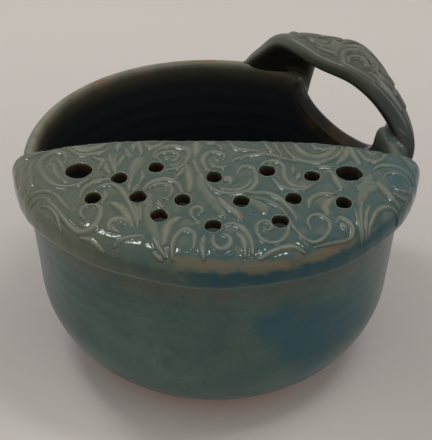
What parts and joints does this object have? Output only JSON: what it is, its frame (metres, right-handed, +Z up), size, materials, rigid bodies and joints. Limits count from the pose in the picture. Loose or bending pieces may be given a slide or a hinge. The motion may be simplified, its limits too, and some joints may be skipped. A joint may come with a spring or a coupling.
{
  "type": "berry bowl",
  "caption": "Round stoneware berry bowl with a pierced half-moon strainer folded over the front rim and a strap handle bridging a scooped notch in the wall.",
  "frame": {"origin": "centre of the flat base, on the surface the bowl stands on", "axes": "+Z up, -Y towards the front with the strainer, the handle on the +X side and towards the back"},
  "size_m": [0.1589, 0.1584, 0.1141],
  "materials": {
    "bowl_glaze": "glossy blue-green glaze",
    "strainer_glaze": "glossy blue-green glaze pooling in pressed relief",
    "handle_glaze": "glossy grey-green glaze",
    "joint_slip": "glazed slip, breaking brown"
  },
  "bodies": {
    "root": {"bowl_body": "bowl_glaze", "strainer_slab": "strainer_glaze", "strainer_seam": "joint_slip", "handle_strap": "handle_glaze", "handle_back_slip": "joint_slip", "handle_front_slip": "joint_slip"}
  },
  "joints": []
}
